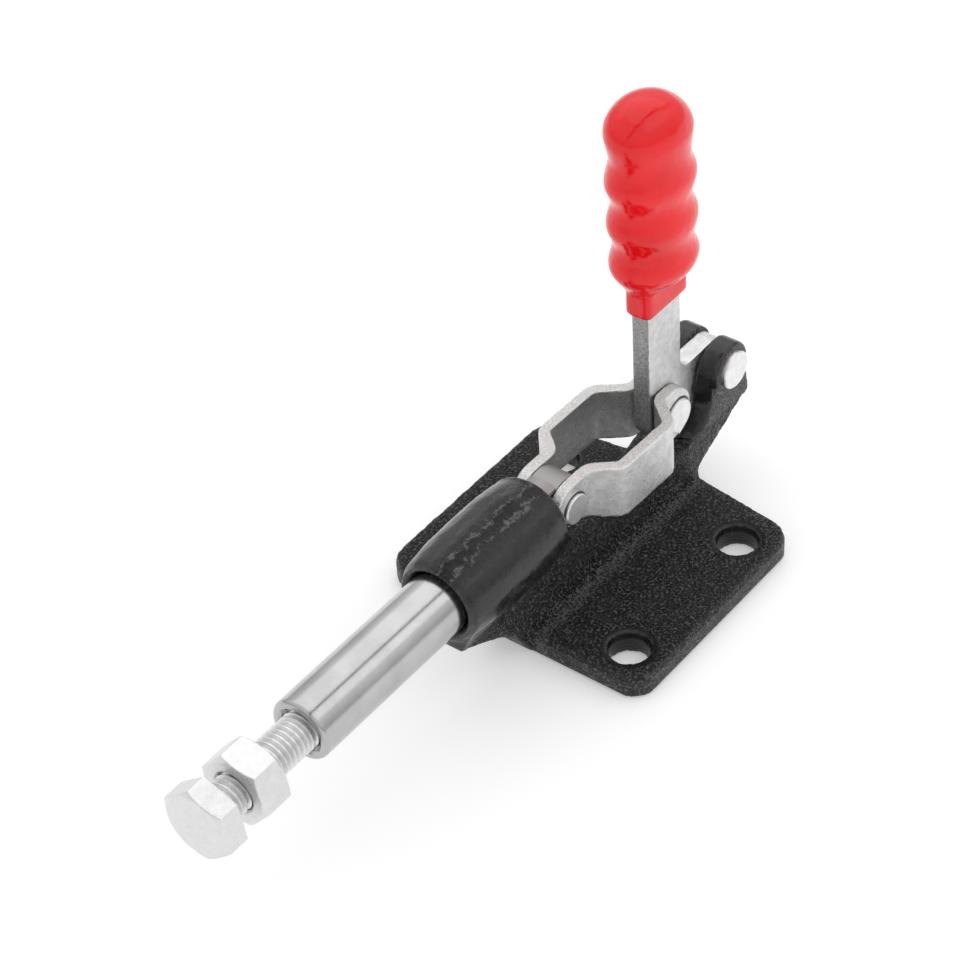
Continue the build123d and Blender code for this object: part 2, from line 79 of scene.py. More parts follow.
# %% [markdown]
# ## Studio
# A pale floor under the clamp keeps its shadow, and a white tent stands round it. The
# camera sees the tent as plain white paper. Reflections see its walls a little darker
# towards the floor, and a narrow dark gap overhead between two broad soft boxes: a
# polished rod needs such a line to look round. The boxes are dim, so shadows stay faint.

# %% helpers for materials
def new_material(name):
    """An empty node material with its output, ready for a shader."""
    mat = bpy.data.materials.new(name)
    mat.use_nodes = True
    mat.node_tree.nodes.clear()
    out = mat.node_tree.nodes.new("ShaderNodeOutputMaterial")
    return mat, mat.node_tree, out


def add(tree, kind, **values):
    """A node of one kind; attributes by name, sockets by name with _ for a space."""
    node = tree.nodes.new("ShaderNode" + kind)
    for key, value in values.items():
        if hasattr(node, key):
            setattr(node, key, value)
        else:
            node.inputs[key.replace("_", " ")].default_value = value
    return node


def maths(tree, operation, first, second=0.0):
    """One sum on two numbers, each a socket or a plain value; gives the result socket."""
    node = add(tree, "Math", operation=operation)
    for socket, value in zip(node.inputs, (first, second)):
        if isinstance(value, bpy.types.NodeSocket):
            tree.links.new(value, socket)
        else:
            socket.default_value = value
    return node.outputs[0]


def ramp(tree, value, low, high, to_low=0.0, to_high=1.0):
    """Carries value from low..high to to_low..to_high in an eased curve."""
    node = add(tree, "MapRange", interpolation_type="SMOOTHSTEP", From_Min=low, From_Max=high,
               To_Min=to_low, To_Max=to_high)
    tree.links.new(value, node.inputs["Value"])
    return node.outputs[0]


def place_parts(tree):
    """The point on the object: its vector socket, and a node with its X, Y and Z."""
    place = add(tree, "TexCoord")
    parts = add(tree, "SeparateXYZ")
    tree.links.new(place.outputs["Object"], parts.inputs[0])
    return place.outputs["Object"], parts


def blend_to(tree, share, colour, target):
    """The colour socket carried to a fixed target colour by share; gives the socket."""
    mix = add(tree, "Mix", data_type="RGBA")
    mix.inputs[7].default_value = target
    tree.links.new(share, mix.inputs[0])
    tree.links.new(colour, mix.inputs[6])
    return mix.outputs[2]


def seen_ray(tree):
    """1 for rays from the camera, or seen in a glossy or clear surface, else 0."""
    path = add(tree, "LightPath")
    seen = maths(tree, "MAXIMUM", path.outputs["Is Camera Ray"], path.outputs["Is Glossy Ray"])
    return maths(tree, "MAXIMUM", seen, path.outputs["Is Transmission Ray"])


# %% floor
FLOOR_SIZE, FLOOR_Z = 8, -0.0004
PAPER_TONE, FLOOR_GLOW = (0.86, 0.86, 0.86, 1), 0.3
bpy.ops.object.select_all(action="DESELECT")
bpy.ops.mesh.primitive_plane_add(size=FLOOR_SIZE, location=(0, 0, FLOOR_Z))
floor = bpy.context.object
floor.name = "studio_floor"
mat, tree, out = new_material("studio_floor")
paper = add(tree, "BsdfPrincipled", Base_Color=PAPER_TONE, Roughness=0.9)
glow = add(tree, "Emission", Color=(1, 1, 1, 1), Strength=FLOOR_GLOW)
both = add(tree, "AddShader")
tree.links.new(paper.outputs[0], both.inputs[0])
tree.links.new(glow.outputs[0], both.inputs[1])
tree.links.new(both.outputs[0], out.inputs["Surface"])
floor.data.materials.append(mat)
print("floor", FLOOR_SIZE, "m across")

# %% world
TENT_LIGHT = 0.74
SEAM_SLOPE = 0.3
SEAM_HALF = 0.065
SEAM_TONE = 0.04
WALL_TONE, WALL_TOP = 0.6, 0.55
world = bpy.data.worlds.new("light_tent")
bpy.context.scene.world = world
world.use_nodes = True
sky = world.node_tree
sky.nodes.clear()
sky_out = sky.nodes.new("ShaderNodeOutputWorld")
aim = add(sky, "TexCoord")
parts = add(sky, "SeparateXYZ")
sky.links.new(aim.outputs["Generated"], parts.inputs[0])
slope = maths(sky, "DIVIDE", parts.outputs["Y"], parts.outputs["Z"])
off_seam = maths(sky, "ABSOLUTE", maths(sky, "SUBTRACT", slope, SEAM_SLOPE))
seam = ramp(sky, off_seam, SEAM_HALF * 0.7, SEAM_HALF * 1.1, SEAM_TONE, 1.0)
wall = ramp(sky, parts.outputs["Z"], 0.0, WALL_TOP, WALL_TONE, 1.0)
tent = add(sky, "Background", Color=(1, 1, 1, 1), Strength=TENT_LIGHT)
mirror = add(sky, "Background", Color=(1, 1, 1, 1))
white = add(sky, "Background", Color=(1, 1, 1, 1), Strength=1.0)
sky.links.new(maths(sky, "MULTIPLY", seam, wall), mirror.inputs["Strength"])
path = add(sky, "LightPath")
glossy_mix = add(sky, "MixShader")
sky.links.new(path.outputs["Is Glossy Ray"], glossy_mix.inputs["Fac"])
sky.links.new(white.outputs[0], glossy_mix.inputs[1])
sky.links.new(mirror.outputs[0], glossy_mix.inputs[2])
mix = add(sky, "MixShader")
sky.links.new(seen_ray(sky), mix.inputs["Fac"])
sky.links.new(tent.outputs[0], mix.inputs[1])
sky.links.new(glossy_mix.outputs[0], mix.inputs[2])
sky.links.new(mix.outputs[0], sky_out.inputs["Surface"])
print("tent light", TENT_LIGHT)


# %% lamps
def soft_box(name, middle, width, depth, watts):
    """A rectangular area lamp that hangs level and shines straight down."""
    lamp = bpy.data.lights.new(name, "AREA")
    lamp.shape = "RECTANGLE"
    lamp.size = width
    lamp.size_y = depth
    lamp.energy = watts
    holder = bpy.data.objects.new(name, lamp)
    bpy.context.collection.objects.link(holder)
    holder.location = middle


BOX_X, BOX_Z, BOX_WIDTH, BOX_GLOW = -0.9, 1.5, 2.4, 0.5
FAR_END_Y, NEAR_END_Y = -1.9, 1.7
GAP_Y = SEAM_SLOPE * BOX_Z
GAP_HALF = SEAM_HALF * BOX_Z
boxes = (("far_box", FAR_END_Y, GAP_Y - GAP_HALF), ("near_box", GAP_Y + GAP_HALF, NEAR_END_Y))
for name, low_y, high_y in boxes:
    depth = high_y - low_y
    watts = BOX_GLOW * math.pi * BOX_WIDTH * depth
    soft_box(name, (BOX_X, (low_y + high_y) / 2, BOX_Z), BOX_WIDTH, depth, watts)
bpy.context.scene.view_settings.view_transform = "Standard"
print("studio ready")

# %% [markdown]
# ## Shared surface effects
# Paint, plating and ground steel are never even. Four small node groups carry what the
# finishes share: a mottle that lightens and darkens a colour, a grain that is a height
# for a bump, a wear mask that finds convex edges, and fine scratches along one way.

# %% mottle group
def group_io(tree, inputs, outputs):
    """Declares a group's sockets and returns its input and output nodes."""
    for name, kind, default in inputs:
        socket = tree.interface.new_socket(name, in_out="INPUT", socket_type=kind)
        socket.default_value = default
    for name, kind in outputs:
        tree.interface.new_socket(name, in_out="OUTPUT", socket_type=kind)
    return tree.nodes.new("NodeGroupInput"), tree.nodes.new("NodeGroupOutput")


mottle = bpy.data.node_groups.new("mottle", "ShaderNodeTree")
m_in, m_out = group_io(
    mottle,
    [("Dark", "NodeSocketColor", (0, 0, 0, 1)), ("Light", "NodeSocketColor", (1, 1, 1, 1)),
     ("Scale", "NodeSocketFloat", 100.0)],
    [("Color", "NodeSocketColor"), ("Mask", "NodeSocketFloat")],
)
place = add(mottle, "TexCoord")
cloud = add(mottle, "TexNoise", Detail=4.0, Roughness=0.55)
mottle.links.new(place.outputs["Object"], cloud.inputs["Vector"])
mottle.links.new(m_in.outputs["Scale"], cloud.inputs["Scale"])
spread = ramp(mottle, cloud.outputs["Fac"], 0.3, 0.7)
blend = add(mottle, "Mix", data_type="RGBA")
mottle.links.new(spread, blend.inputs[0])
mottle.links.new(m_in.outputs["Dark"], blend.inputs[6])
mottle.links.new(m_in.outputs["Light"], blend.inputs[7])
mottle.links.new(blend.outputs[2], m_out.inputs["Color"])
mottle.links.new(spread, m_out.inputs["Mask"])

# %% grain group
grain = bpy.data.node_groups.new("grain", "ShaderNodeTree")
g_in, g_out = group_io(
    grain,
    [("Coarse", "NodeSocketFloat", 900.0), ("Fine", "NodeSocketFloat", 3000.0)],
    [("Height", "NodeSocketFloat")],
)
place = add(grain, "TexCoord")
pits = add(grain, "TexVoronoi", feature="SMOOTH_F1", Smoothness=0.8)
fuzz = add(grain, "TexNoise", Detail=3.0, Roughness=0.6)
grain.links.new(place.outputs["Object"], pits.inputs["Vector"])
grain.links.new(place.outputs["Object"], fuzz.inputs["Vector"])
grain.links.new(g_in.outputs["Coarse"], pits.inputs["Scale"])
grain.links.new(g_in.outputs["Fine"], fuzz.inputs["Scale"])
total = maths(grain, "ADD", pits.outputs["Distance"], fuzz.outputs["Fac"])
grain.links.new(total, g_out.inputs["Height"])

# %% edge wear group
edge_wear = bpy.data.node_groups.new("edge_wear", "ShaderNodeTree")
e_in, e_out = group_io(
    edge_wear,
    [("Start", "NodeSocketFloat", 0.53), ("Full", "NodeSocketFloat", 0.6),
     ("Scale", "NodeSocketFloat", 600.0)],
    [("Mask", "NodeSocketFloat")],
)
shape = add(edge_wear, "NewGeometry")
place = add(edge_wear, "TexCoord")
chips = add(edge_wear, "TexNoise", Detail=3.0, Roughness=0.6)
edge_wear.links.new(place.outputs["Object"], chips.inputs["Vector"])
edge_wear.links.new(e_in.outputs["Scale"], chips.inputs["Scale"])
convex = add(edge_wear, "MapRange")
edge_wear.links.new(shape.outputs["Pointiness"], convex.inputs["Value"])
edge_wear.links.new(e_in.outputs["Start"], convex.inputs["From Min"])
edge_wear.links.new(e_in.outputs["Full"], convex.inputs["From Max"])
broken = maths(edge_wear, "MULTIPLY", convex.outputs[0],
               ramp(edge_wear, chips.outputs["Fac"], 0.35, 0.65))
edge_wear.links.new(broken, e_out.inputs["Mask"])

# %% scratches group
scratches = bpy.data.node_groups.new("scratches", "ShaderNodeTree")
s_in, s_out = group_io(
    scratches,
    [("Stretch", "NodeSocketVector", (1.0, 1.0, 1.0)), ("Scale", "NodeSocketFloat", 800.0)],
    [("Mask", "NodeSocketFloat")],
)
place = add(scratches, "TexCoord")
pull = add(scratches, "VectorMath", operation="MULTIPLY")
lines = add(scratches, "TexNoise", Detail=5.0, Roughness=0.7)
scratches.links.new(place.outputs["Object"], pull.inputs[0])
scratches.links.new(s_in.outputs["Stretch"], pull.inputs[1])
scratches.links.new(pull.outputs[0], lines.inputs["Vector"])
scratches.links.new(s_in.outputs["Scale"], lines.inputs["Scale"])
scratches.links.new(ramp(scratches, lines.outputs["Fac"], 0.35, 0.65), s_out.inputs["Mask"])


def use_group(tree, group, **values):
    """Places a shared group in a material with its own values."""
    node = tree.nodes.new("ShaderNodeGroup")
    node.node_tree = group
    for key, value in values.items():
        node.inputs[key].default_value = value
    return node


def finish_with(node_or_piece, *mats):
    """Gives an object its materials, in slots of their own."""
    node_or_piece.data.materials.clear()
    for mat in mats:
        node_or_piece.data.materials.append(mat)


print("groups", [g.name for g in bpy.data.node_groups])

# %% [markdown]
# ## Working copies
# The casting, straps, bar, bolt head, nut and grip have soft, slightly uneven edges that
# sharp solids lack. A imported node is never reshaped, so each such piece starts as a merged copy of it.
# A voxel remesh gives the copy an even skin, and a little smoothing rounds every corner
# as blasting, tumbling or dipping does. A finer voxel keeps a tighter corner.

# %% copy and reskin
def choose(obj):
    """Makes obj the only selected object, and the active one."""
    bpy.ops.object.select_all(action="DESELECT")
    obj.select_set(True)
    bpy.context.view_layer.objects.active = obj


def merged_copy(node, name):
    """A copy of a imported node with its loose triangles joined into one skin."""
    piece = bpy.data.objects.new(name, nodes[node].data.copy())
    piece.data.name = name
    bpy.context.collection.objects.link(piece)
    choose(piece)
    bpy.ops.object.mode_set(mode="EDIT")
    bpy.ops.mesh.select_all(action="SELECT")
    bpy.ops.mesh.remove_doubles(threshold=0.000002)
    bpy.ops.object.mode_set(mode="OBJECT")
    return piece


def apply_modifier(piece, kind, **settings):
    """Adds one modifier with its settings and applies it."""
    choose(piece)
    modifier = piece.modifiers.new(kind.lower(), kind)
    for key, value in settings.items():
        setattr(modifier, key, value)
    bpy.ops.object.modifier_apply(modifier=modifier.name)


def reskin(piece, voxel, passes):
    """Even quads of one voxel each, then smoothing that rounds the corners."""
    apply_modifier(piece, "REMESH", mode="VOXEL", voxel_size=voxel, use_smooth_shade=True)
    apply_modifier(piece, "SMOOTH", factor=0.5, iterations=passes)
    print(piece.name, len(piece.data.polygons), "faces")


def share_of(value, start, run):
    """0 before start, 1 after start + run, even in between."""
    return min(1.0, max(0.0, (value - start) / run))


def group_by_place(piece, name, weigh):
    """A vertex group whose weight at each point is weigh(x, y, z), 0 to 1."""
    group = piece.vertex_groups.new(name=name)
    for vert in piece.data.vertices:
        weight = weigh(*vert.co)
        if weight > 0:
            group.add([vert.index], weight, "REPLACE")
    return name


def hollow(piece, name, kind, size, depth, group):
    """Presses shallow uneven hollows into a piece, never outwards."""
    texture = bpy.data.textures.new(name, kind)
    texture.noise_scale = size
    apply_modifier(piece, "DISPLACE", texture=texture, texture_coords="GLOBAL",
                   strength=depth, mid_level=1.0, vertex_group=group)


def ride_as(piece, node, body):
    """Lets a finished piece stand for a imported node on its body."""
    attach(piece, body)
    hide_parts(node)


# %% measures of the clamp
rod_low, rod_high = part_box("plunger")
AXIS_Z = (rod_low[2] + rod_high[2]) / 2
ROD_R = (rod_high[2] - rod_low[2]) / 2
BARREL_X = (0.0212, 0.0579)
BARREL_REACH = 0.0126
BASE_TOP = 0.0065
SPINE_TOP = 0.0187
print("axis at", round(AXIS_Z * 1000, 2), "mm, rod radius", round(ROD_R * 1000, 2), "mm")

# %% [markdown]
# ## Black casting
# The body is one sand casting under glossy black paint. Its flange keeps the pebbly
# grain of the sand, while the barrel was rubbed smooth and shows shallow dents and a
# ragged parting seam. The copy is reskinned, the bore is pressed back to a clean round,
# the ears' inner front edges are filled out a little, and clouds press in the dents.
# Two paints share the mesh, chosen face by face.

# %% casting skin
CAST_VOXEL = 0.00056
BORE_R = ROD_R + 0.0001
BORE_REAR, BORE_FRONT, BORE_WALL = BARREL_X[0] + 0.0004, BARREL_X[1] - 0.0016, ROD_R + 0.0008
EAR_FACE_X, EAR_FACE_Z = (-0.046, -0.035), (0.0165, 0.038)
EAR_RUN_X, EAR_RUN_UP, EAR_RUN_DOWN = 0.003, 0.01, 0.002
EAR_IN_Y, EAR_OUT_Y, EAR_FILL = 0.00265, 0.0074, 0.0019
cast_skin = merged_copy("cast_body", "cast_skin")
reskin(cast_skin, CAST_VOXEL, 3)
for vert in cast_skin.data.vertices:
    reach = math.hypot(vert.co.y, vert.co.z - AXIS_Z)
    if BORE_REAR < vert.co.x < BORE_FRONT and reach < BORE_WALL:
        vert.co.y *= BORE_R / reach
        vert.co.z = AXIS_Z + (vert.co.z - AXIS_Z) * BORE_R / reach
for vert in cast_skin.data.vertices:
    x, y, z = vert.co
    if EAR_FACE_X[0] < x < EAR_FACE_X[1] and EAR_FACE_Z[0] < z < EAR_FACE_Z[1]:
        inner = 1.0 - share_of(abs(y), EAR_IN_Y, EAR_OUT_Y - EAR_IN_Y)
        along = min(1.0, (x - EAR_FACE_X[0]) / EAR_RUN_X, (EAR_FACE_Z[1] - z) / EAR_RUN_UP,
                    (z - EAR_FACE_Z[0]) / EAR_RUN_DOWN)
        vert.co.x += EAR_FILL * inner * along


def on_barrel(x, y, z):
    """1 on the barrel's outside, 0 in the bore and elsewhere."""
    reach = math.hypot(y, z - AXIS_Z)
    along = BARREL_X[0] + 0.001 < x < BARREL_X[1]
    return 1.0 if along and ROD_R + 0.0022 < reach < BARREL_REACH else 0.0


def on_flange(x, y, z):
    """1 on the flange's top and the spine, 0 near the bolt face."""
    level = BASE_TOP * 0.8 < z < SPINE_TOP + 0.0002
    return 1.0 if level and not on_barrel(x, y, z) else 0.0


dented = group_by_place(cast_skin, "dented", on_barrel)
sandy = group_by_place(cast_skin, "sandy", on_flange)
hollow(cast_skin, "dents", "CLOUDS", 0.007, 0.0004, dented)
hollow(cast_skin, "sand", "CLOUDS", 0.0014, 0.0005, sandy)


# %% distance from the bolt holes
HOLE_X, HOLE_FAR_Y, HOLE_NEAR_Y = 0.02275, -0.0255, 0.0285
HOLES = [(x, y) for x in (-HOLE_X, HOLE_X) for y in (HOLE_FAR_Y, HOLE_NEAR_Y)]
FAR_OFF = 1.0
print("bolt holes", HOLES)


def distance(tree, first, first_at, second, second_at):
    """How far two coordinates are from a point, as a socket."""
    d0 = maths(tree, "SUBTRACT", first, first_at)
    d1 = maths(tree, "SUBTRACT", second, second_at)
    square = maths(tree, "ADD", maths(tree, "MULTIPLY", d0, d0), maths(tree, "MULTIPLY", d1, d1))
    return maths(tree, "SQRT", square)


def off_holes(tree):
    """Distance in plan from the nearest bolt hole's middle, as a socket."""
    _, parts = place_parts(tree)
    nearest = FAR_OFF
    for x, y in HOLES:
        reach = distance(tree, parts.outputs["X"], x, parts.outputs["Y"], y)
        nearest = maths(tree, "MINIMUM", reach, nearest)
    return nearest


# %% two black paints
COVE_Y, COVE_HALF, COVE_HIGHLIGHT = 0.009, 0.003, 0.2
HOLE_RIM_R, HOLE_RIM_END_R, HOLE_RIM_HEIGHT = 0.0056, 0.0072, 0.1
CREST_LEVEL, THIN_PAINT = (0.95, 1.25), (0.05, 0.05, 0.049, 1)


def black_paint(name, dark, light, glint_tone, rough, pebble, depth_mm, sparkle):
    """Glossy black paint: dusty mottle, painted glints on the pebbles' crests and a painted highlight
    band along the cove, edges rubbed thin.
    """
    mat, tree, out = new_material(name)
    paint = add(tree, "BsdfPrincipled", Roughness=rough)
    paint.inputs["Specular IOR Level"].default_value = sparkle
    tone = use_group(tree, mottle, Dark=dark, Light=light, Scale=260.0)
    stones = use_group(tree, grain, Coarse=pebble, Fine=pebble * 2.5)
    around_holes = ramp(tree, off_holes(tree), HOLE_RIM_R, HOLE_RIM_END_R, HOLE_RIM_HEIGHT, 1.0)
    height = maths(tree, "MULTIPLY", stones.outputs["Height"], around_holes)
    _, parts = place_parts(tree)
    # A band along the cove beside the spine is carried towards the glint tone: a painted highlight of
    # the lit ridge.
    from_cove = maths(tree, "ABSOLUTE", maths(tree, "SUBTRACT", parts.outputs["Y"], COVE_Y))
    lit = maths(tree, "ADD", height, ramp(tree, from_cove, 0.0, COVE_HALF, COVE_HIGHLIGHT, 0.0))
    # The pebbles' crests are paled towards the glint tone: painted glints where the grain would catch
    # the light.
    with_highlights = blend_to(tree, ramp(tree, lit, *CREST_LEVEL), tone.outputs["Color"], glint_tone)
    worn = use_group(tree, edge_wear, Start=0.505, Full=0.56, Scale=900.0)
    colour = blend_to(tree, worn.outputs["Mask"], with_highlights, THIN_PAINT)
    tree.links.new(colour, paint.inputs["Base Color"])
    dull = ramp(tree, tone.outputs["Mask"], 0.0, 1.0, rough * 0.75, rough * 1.3)
    tree.links.new(dull, paint.inputs["Roughness"])
    bump = add(tree, "Bump", Strength=1.0, Distance=depth_mm / 1000)
    tree.links.new(height, bump.inputs["Height"])
    tree.links.new(bump.outputs[0], paint.inputs["Normal"])
    tree.links.new(paint.outputs[0], out.inputs["Surface"])
    return mat, tree, paint, bump, colour


pebbled_paint = black_paint(
    "pebbled_paint", dark=(0.001, 0.001, 0.0011, 1), light=(0.006, 0.006, 0.006, 1),
    glint_tone=(0.15, 0.15, 0.15, 1), rough=0.27, pebble=1850.0, depth_mm=0.75, sparkle=0.4)[0]
rubbed_paint, tree, paint, bump, colour = black_paint(
    "rubbed_paint", dark=(0.005, 0.005, 0.006, 1), light=(0.016, 0.016, 0.018, 1),
    glint_tone=(0.012, 0.012, 0.012, 1), rough=0.22, pebble=700.0, depth_mm=0.04, sparkle=0.5)

# %% parting seam on the barrel
# The seam's relief is a bump; its colour is painted: painted shade darkens the crack, and painted
# highlights pale its ragged rims and flecks.
SEAM_ANGLE, SEAM_WANDER, SEAM_DEPTH = 0.25, 0.5, 0.0024
CRACK_EDGE, FLAKE_EDGE, RIM_IN, RIM_OUT = (0.03, 0.12), (0.05, 0.5), (0.07, 0.11), (0.15, 0.22)
SEAM_HIGHLIGHT_TONE, CRACK_SHADE_TONE = (0.14, 0.14, 0.14, 1), (0.0005, 0.0005, 0.0005, 1)
place, parts = place_parts(tree)
above = maths(tree, "SUBTRACT", parts.outputs["Z"], AXIS_Z)
angle = maths(tree, "ARCTAN2", parts.outputs["Y"], above)
wander = add(tree, "TexNoise", Scale=420.0, Detail=5.0, Roughness=0.65)
tree.links.new(place, wander.inputs["Vector"])
drift = maths(tree, "SUBTRACT", wander.outputs["Fac"], 0.5)
angle = maths(tree, "ADD", angle, maths(tree, "MULTIPLY", drift, SEAM_WANDER))
off_line = maths(tree, "ABSOLUTE", maths(tree, "SUBTRACT", angle, SEAM_ANGLE))
barrel_only = ramp(tree, parts.outputs["X"], BARREL_X[0] - 0.001, BARREL_X[0] + 0.001)
crack = maths(tree, "MULTIPLY", ramp(tree, off_line, *CRACK_EDGE, 1.0, 0.0), barrel_only)
by_seam = ramp(tree, off_line, *FLAKE_EDGE, 1.0, 0.0)
flaky = add(tree, "TexNoise", Scale=700.0, Detail=4.0, Roughness=0.6, Distortion=0.8)
tree.links.new(place, flaky.inputs["Vector"])
flakes_and_glints = maths(tree, "MULTIPLY", flaky.outputs["Fac"], by_seam)
flakes_and_glints = maths(tree, "MULTIPLY", flakes_and_glints, barrel_only)
relief = maths(tree, "SUBTRACT", maths(tree, "MULTIPLY", flakes_and_glints, 0.9), crack)
seam_bump = add(tree, "Bump", Strength=1.0, Distance=SEAM_DEPTH)
tree.links.new(relief, seam_bump.inputs["Height"])
tree.links.new(bump.outputs[0], seam_bump.inputs["Normal"])
tree.links.new(seam_bump.outputs[0], paint.inputs["Normal"])
rim_start = ramp(tree, off_line, *RIM_IN)
rim_highlight = maths(tree, "MULTIPLY", rim_start, ramp(tree, off_line, *RIM_OUT, 1.0, 0.0))
rim_highlight = maths(tree, "MULTIPLY", rim_highlight, ramp(tree, flaky.outputs["Fac"], 0.44, 0.54))
rim_highlight = maths(tree, "MULTIPLY", rim_highlight, barrel_only)
# Painted highlights along the seam's rims and flecks, then painted shade in the crack.
seam_highlights = maths(tree, "MAXIMUM", ramp(tree, flakes_and_glints, 0.42, 0.56), rim_highlight)
colour = blend_to(tree, seam_highlights, colour, SEAM_HIGHLIGHT_TONE)
colour = blend_to(tree, crack, colour, CRACK_SHADE_TONE)
tree.links.new(colour, paint.inputs["Base Color"])
print("paints", pebbled_paint.name, rubbed_paint.name)

# %% paint the casting
EAR_FRONT, EAR_SIDE = -0.034, 0.8
finish_with(cast_skin, pebbled_paint, rubbed_paint)
for face in cast_skin.data.polygons:
    x, y, z = face.center
    reach = math.hypot(y, z - AXIS_Z)
    high = z > SPINE_TOP + 0.0005
    barrel = x > BARREL_X[0] - 0.001 and high and reach < BARREL_REACH + 0.0006
    ear_rim = x < EAR_FRONT and z > SPINE_TOP - 0.004 and abs(face.normal.y) < EAR_SIDE
    face.material_index = 1 if barrel or ear_rim else 0
ride_as(cast_skin, "cast_body", "base")
print("casting", sum(face.material_index for face in cast_skin.data.polygons), "rubbed faces")

# %% [markdown]
# ## Zinc-plated steel
# Links, rivets, handle bar, bolt and nut are steel under bright zinc. Zinc isn't a
# mirror: it is a pale grey with a soft mottle and a fine tooth. Faces cut by a punch
# or shear have a rougher, darker grain with lines across the thickness. Where two of the
# rivets' heads meet the strap, a thin shaded ring is drawn in its colour.

# %% metal finishes
RING_START, RING_W, HEAD_SHADE_TONE = 0.0002, 0.0007, (0.04, 0.04, 0.04, 1)


def head_shade_ring(tree, pin, colour):
    """The colour darkened in a thin ring round a rivet's head: painted shade where the head shades the
    strap.
    """
    low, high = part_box(pin)
    radius = (high[2] - low[2]) / 2
    middle_x, middle_z = (low[0] + high[0]) / 2, (low[2] + high[2]) / 2
    _, parts = place_parts(tree)
    reach = distance(tree, parts.outputs["X"], middle_x, parts.outputs["Z"], middle_z)
    ring = ramp(tree, reach, radius + RING_START, radius + RING_W, 1.0, 0.0)
    return blend_to(tree, ring, colour, HEAD_SHADE_TONE)


def plated(name, dark, light, rough, scale, bump_mm, fine, stretch=(1.0, 1.0, 1.0), wear=0.58,
           rings=()):
    """A metal whose colour, roughness and tiny bumps vary over the surface.

    wear is the pointiness at which an edge is rubbed bright; 2 leaves it out.
    rings names the rivets whose heads leave a shaded ring.
    """
    mat, tree, out = new_material(name)
    metal = add(tree, "BsdfPrincipled", Metallic=1.0)
    tone = use_group(tree, mottle, Dark=dark, Light=light, Scale=scale)
    lines = use_group(tree, scratches, Stretch=stretch, Scale=fine)
    worn = use_group(tree, edge_wear, Start=wear - 0.07, Full=wear, Scale=1200.0)
    bright = tuple(min(1.0, c * 1.12) for c in light[:3]) + (1,)
    colour = blend_to(tree, worn.outputs["Mask"], tone.outputs["Color"], bright)
    for pin in rings:
        colour = head_shade_ring(tree, pin, colour)
    tree.links.new(colour, metal.inputs["Base Color"])
    dull = ramp(tree, lines.outputs["Mask"], 0.0, 1.0, rough * 0.8, rough * 1.25)
    tree.links.new(dull, metal.inputs["Roughness"])
    bump = add(tree, "Bump", Strength=0.7, Distance=bump_mm / 1000)
    tree.links.new(lines.outputs["Mask"], bump.inputs["Height"])
    tree.links.new(bump.outputs[0], metal.inputs["Normal"])
    tree.links.new(metal.outputs[0], out.inputs["Surface"])
    return mat


strap_zinc = plated(
    "strap_zinc", (0.64, 0.64, 0.64, 1), (0.78, 0.78, 0.775, 1), rough=0.34, scale=500.0,
    bump_mm=0.05, fine=2300.0, rings=("lever_link_pin", "plunger_pin"))
punched_edge = plated(
    "punched_edge", (0.52, 0.52, 0.515, 1), (0.82, 0.82, 0.81, 1), rough=0.42, scale=2600.0,
    bump_mm=0.1, fine=1900.0, stretch=(1.0, 1.0, 0.35))
sheared_face = plated(
    "sheared_face", (0.3, 0.3, 0.3, 1), (0.6, 0.6, 0.595, 1), rough=0.42, scale=1900.0,
    bump_mm=0.14, fine=2600.0, stretch=(1.0, 0.2, 1.0))
bolt_zinc = plated(
    "bolt_zinc", (0.69, 0.69, 0.692, 1), (0.73, 0.73, 0.732, 1), rough=0.34, scale=500.0,
    bump_mm=0.015, fine=2600.0)
rivet_zinc = plated(
    "rivet_zinc", (0.76, 0.76, 0.76, 1), (0.86, 0.86, 0.855, 1), rough=0.36, scale=500.0,
    bump_mm=0.02, fine=2200.0, wear=2.0)
print("metals ready")

# %% [markdown]
# ## Links
# Each link is a strap stamped from strip and bent to a bulge. Tumbling rounds its edges
# a little, and the cut edge stays grainy. Below the plunger's rivet the nose is cut
# away, so its lower edge runs up towards the barrel. The far link is modelled the same
# way as the near one, from its own node.

# %% strap links
NOSE_X, NOSE_RUN = 0.005, 0.007
NOSE_DROP, NOSE_RISE = 0.0076, 0.0034
STRAP_VOXEL, CUT_EDGE = 0.00027, 0.75
for name, node in (("near_strap", "link_near"), ("far_strap", "link_far")):
    strap = merged_copy(node, name)
    reskin(strap, STRAP_VOXEL, 4)
    for vert in strap.data.vertices:
        ahead = share_of(vert.co.x, NOSE_X, NOSE_RUN)
        below = max(0.0, (AXIS_Z - vert.co.z) / NOSE_DROP)
        vert.co.z += NOSE_RISE * ahead * below
    flat = group_by_place(strap, "all_over", lambda x, y, z: 1.0)
    hollow(strap, name + "_rolling", "CLOUDS", 0.003, 0.00012, flat)
    finish_with(strap, strap_zinc, punched_edge)
    for face in strap.data.polygons:
        face.material_index = 1 if abs(face.normal.z) > CUT_EDGE else 0
    ride_as(strap, node, "links")

# %% handle bar
BAR_VOXEL, BAR_SIDE, BAR_FRONT = 0.0003, 0.6, 0.5
bar_skin = merged_copy("lever_bar", "bar_skin")
reskin(bar_skin, BAR_VOXEL, 2)
flat = group_by_place(bar_skin, "all_over", lambda x, y, z: 1.0)
hollow(bar_skin, "bar_rolling", "CLOUDS", 0.004, 0.0001, flat)
finish_with(bar_skin, strap_zinc, sheared_face)
for face in bar_skin.data.polygons:
    sheared = abs(face.normal.y) < BAR_SIDE and face.normal.x > BAR_FRONT
    face.material_index = 1 if sheared else 0
ride_as(bar_skin, "lever_bar", "lever")

# %% rivets
for name in ("pivot_pin", "lever_link_pin", "plunger_pin"):
    finish_with(nodes[name], rivet_zinc)
print("rivets finished")
